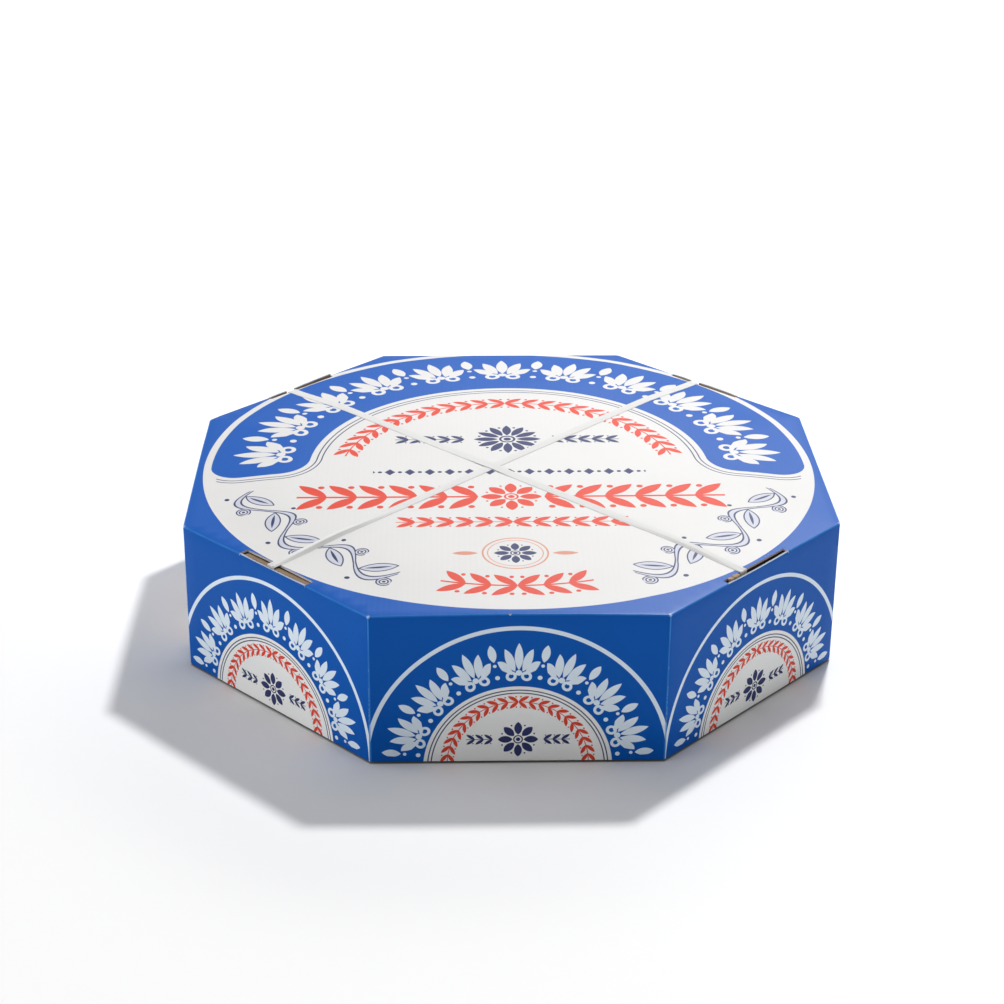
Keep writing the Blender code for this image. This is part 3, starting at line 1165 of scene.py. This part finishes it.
def strap_route(span, crossing, climb, setbacks):
    """Points (distance along, height over the lid) from slot to slot, over the other strap."""
    lying = STRAP_GAP + STRAP_THICKNESS / 2
    ends = []
    for setback in setbacks:
        end = [(setback, height) for height in (-STRAP_HIDDEN, -STRAP_HIDDEN / 2, -2.5 * MM)]
        bend_steps = 8
        for step in range(bend_steps + 1):
            angle = math.pi / 2 * step / bend_steps
            along = setback + STRAP_BEND * (1 - math.cos(angle))
            end.append((along, lying - STRAP_BEND * (1 - math.sin(angle))))
        ends.append(end)
    near = ends[0]
    far = [(span - along, height) for along, height in reversed(ends[1])]
    start, end = near[-1][0], far[0][0]
    middle = []
    run_steps = 120
    for step in range(1, run_steps):
        along = start + (end - start) * step / run_steps
        hump = 1 - smooth_step(abs(along - crossing) / CROSSING_HALF_LENGTH)
        middle.append((along, lying + climb * hump))
    return near + middle + far


def ridge_rise(from_front, lane, lift):
    """The height of the ridge that a strap's front half makes close to its right edge."""
    share = min(1.0, max(0.0, from_front / STRAP_LIFT_LENGTH))
    slope = min((lane + 0.5) / (0.5 + STRAP_RIDGE), (0.5 - lane) / (0.5 - STRAP_RIDGE))
    return lift * math.sin(math.pi * share ** 0.75) ** 1.5 * smooth_step(slope)


def model_strap(name, sides, crossing_point, climb, lift, finish):
    """A flat ribbed strip along its route, gathered where it goes into the front slot."""
    back, front = (strap_end(side) for side in sides)
    setbacks = [SIDES[side]["setback"] for side in sides]
    span = (front - back).length
    direction = (front - back).normalized()
    across = Vector((-direction.y, direction.x, 0))
    route = strap_route(span, (crossing_point - back).dot(direction), climb, setbacks)
    right = 1 if across.y < 0 else -1
    last = len(route) - 1
    lanes = STRAP_RIBS * 4

    bpy.ops.mesh.primitive_grid_add(x_subdivisions=last, y_subdivisions=lanes, size=1)
    strap = bpy.context.object
    strap.name = name
    mesh = strap.data
    weave = mesh.attributes.new("weave", "FLOAT_VECTOR", "POINT")
    travelled = [0.0]
    for (a, b), (c, d) in zip(route, route[1:]):
        travelled.append(travelled[-1] + math.hypot(c - a, d - b))
    for vert, cell in zip(mesh.vertices, weave.data):
        number = round((vert.co.x + 0.5) * last)
        lane = vert.co.y
        along, height = route[number]
        from_front = span - along
        gather = 1 - smooth_step(from_front / STRAP_FRONT_TAPER)
        width = STRAP_WIDTH + (STRAP_FRONT_WIDTH - STRAP_WIDTH) * gather
        rib = STRAP_RIB_RISE * math.cos(2 * math.pi * STRAP_RIBS * lane)
        crown = -0.12 * MM * (2 * lane) ** 4
        pleat = 0.22 * MM * gather ** 4 * math.sin(9 * lane + 40 * along)
        wander = 0.22 * MM * noise.noise(Vector((along * 25, span * 9, 0.5)))
        place = back + direction * along + across * (lane * width + wander)
        cell.vector = (travelled[number], lane, 0)
        press = lid_rise(place.x, place.y) if height > -2 * MM else 0.0
        vert.co = place
        ridge = ridge_rise(from_front, lane * right, lift)
        vert.co.z = TOP + height + press + max(rib + crown + pleat, -STRAP_SINK) + ridge
    apply_modifier(strap, "SOLIDIFY", thickness=STRAP_THICKNESS, offset=0.0, use_even_offset=True)
    strap.data.materials.append(finish)
    smooth(strap, 50)
    ride(strap, "elastic", name.removeprefix("woven_"))


# The studio

CAMERA_PLACE = Vector((-0.0310, -0.8961, 0.4854))
CAMERA_AIM = Vector((-0.00313, 0.0, 0.0528))
CAMERA_ROLL = 0.0086
CAMERA_LENS = 76.1
SENSOR = 36.0

KEY_PLACE = Vector((0.300, 0.490, 1.020))
KEY_AIM = Vector((0, 0, 0.05))
KEY_SIZE = 0.095
SOFTBOX_AZIMUTH = (0.0, 40.0)
SOFTBOX_ELEVATION = (26.0, 38.0)
SOFTBOX_EDGE = 8.0

# Strength of the key in watts, and radiance of the walls, the softbox behind and the floor
LIGHTS = {
    "key": 10.5, "back": 0.50, "left": 3.0, "right": 1.30, "top": 0.28,
    "softbox": 3.8, "floor": 0.045,
}
WALL_FALL = 4.0

# The floor: a painted shadow darkens it under the box; it glows a little beside it and more far from
# it
FLOOR_SIZE = 16.0
FLOOR_DROP = 0.1 * MM
FLOOR_TONE = 0.98
FLOOR_SHADE = 0.75
GLOW_START = -8.0 * MM
GLOW_REACH = 40.0 * MM
FAR_START = 240.0 * MM
FAR_REACH = 1.0
FAR_GLOW = 0.6


def set_camera():
    data = bpy.data.cameras.new("camera")
    data.sensor_width = SENSOR
    data.lens = CAMERA_LENS
    data.clip_start = 0.05
    camera = bpy.data.objects.new("camera", data)
    bpy.context.scene.collection.objects.link(camera)
    camera.location = CAMERA_PLACE
    camera.rotation_mode = "QUATERNION"
    look = (CAMERA_AIM - CAMERA_PLACE).to_track_quat("-Z", "Y")
    camera.rotation_quaternion = look @ Quaternion((0, 0, 1), CAMERA_ROLL)
    bpy.context.scene.camera = camera


def lay_floor():
    bpy.ops.mesh.primitive_plane_add(size=FLOOR_SIZE, location=(0, 0, -FLOOR_DROP))
    floor = place_mesh(bpy.context.object)
    floor.name = "floor"
    material, shader, surface = new_finish("pale_floor", 0.9)
    surface.inputs["Specular IOR Level"].default_value = 0.1
    x, y, _ = shader.split(object_place(shader))
    across, along = abs(x), abs(y)
    slanted = (across + along - (HALF_WIDTH + HALF_DEPTH - CORNER_CUT)) * math.sqrt(0.5)
    outside = overlap(slanted, across - HALF_WIDTH, along - HALF_DEPTH)
    # Painted contact shadow: the floor's colour darkens under the box's outline.
    painted_shadow = ink(outside * TO_MM - 0.2, 1.0)
    shader.feed(surface.inputs["Base Color"], grey(shader, FLOOR_TONE - painted_shadow * FLOOR_SHADE))
    beside = (outside - GLOW_START).maths("MULTIPLY", 1 / GLOW_REACH, clamp=True)
    away = (length(x, y) - FAR_START).maths("MULTIPLY", 1 / FAR_REACH, clamp=True)
    glow = beside * LIGHTS["floor"] + away * FAR_GLOW
    surface.inputs["Emission Strength"].default_value = 1.0
    shader.feed(surface.inputs["Emission Color"], grey(shader, glow))
    floor.data.materials.append(material)


def between(value, ends, edge):
    """1 between two values, with soft ends."""
    low, high = ends
    return ink(abs(value - (low + high) / 2) - (high - low) / 2, edge)


def light_studio():
    """A small key light, and around it walls whose brightness differs from side to side."""
    world = bpy.data.worlds.new("studio")
    bpy.context.scene.world = world
    shader = Shader(world)
    background = shader.tree.nodes["Background"]
    direction = shader.node("ShaderNodeTexCoord", output="Generated")
    x, y, z = shader.split(direction)
    glow = 0.0
    for name, axis in (("back", y), ("left", -x), ("right", x), ("top", z)):
        lobe = axis.maths("MAXIMUM", 0.0)
        glow = lobe ** WALL_FALL * LIGHTS[name] + glow
    azimuth = x.maths("ARCTAN2", y) * math.degrees(1)
    elevation = z.maths("ARCSINE") * math.degrees(1)
    window = between(azimuth, SOFTBOX_AZIMUTH, SOFTBOX_EDGE)
    window = window * between(elevation, SOFTBOX_ELEVATION, SOFTBOX_EDGE)
    glow = window * LIGHTS["softbox"] + glow
    shader.feed(background.inputs["Color"], grey(shader, glow))
    background.inputs["Strength"].default_value = 1.0

    data = bpy.data.lights.new("key", "AREA")
    data.shape = "DISK"
    data.size = KEY_SIZE
    data.energy = LIGHTS["key"]
    key = bpy.data.objects.new("key", data)
    bpy.context.scene.collection.objects.link(key)
    key.location = KEY_PLACE
    key.rotation_mode = "QUATERNION"
    key.rotation_quaternion = (KEY_AIM - KEY_PLACE).to_track_quat("-Z", "Y")


def set_view():
    view = bpy.context.scene.view_settings
    view.view_transform = "Standard"
    view.look = "None"
    view.exposure = 0.0
    view.gamma = 1.0


def make_finishes():
    return {
        "lid_print": printed_finish("lid_print", lid_colour, "place", 0.28),
        "skirt_print": printed_finish("skirt_print", skirt_colour, "panel", 0.08),
        "liner": kraft_finish("kraft_liner", 1.0),
        "kraft": kraft_finish("kraft_tray", 1.4, painted_shade=True),
        "tab": kraft_finish("kraft_tab", 0.8),
        "cut_edge": cut_edge_finish("board_cut_edge", EDGE_GREY, EDGE_PALE, OFF_WHITE),
        "lip_edge": cut_edge_finish("lip_edge", LIP_GREY, LIP_PALE, LIP_PALE),
        "elastic": elastic_finish(),
    }


def main():
    finishes = make_finishes()
    model_lid(finishes)
    model_tray(finishes)
    model_tab(finishes)
    model_scraps(finishes)
    under = ("back_right", "front_left")
    over = ("back_left", "front_right")
    meeting = meeting_point(under, over)
    elastic = finishes["elastic"]
    model_strap("woven_strap_under", under, meeting, 0.0, STRAP_LIFT, elastic)
    model_strap("woven_strap_over", over, meeting, CROSSING_CLIMB, STRAP_OVER_LIFT, elastic)
    set_camera()
    lay_floor()
    light_studio()
    set_view()


main()
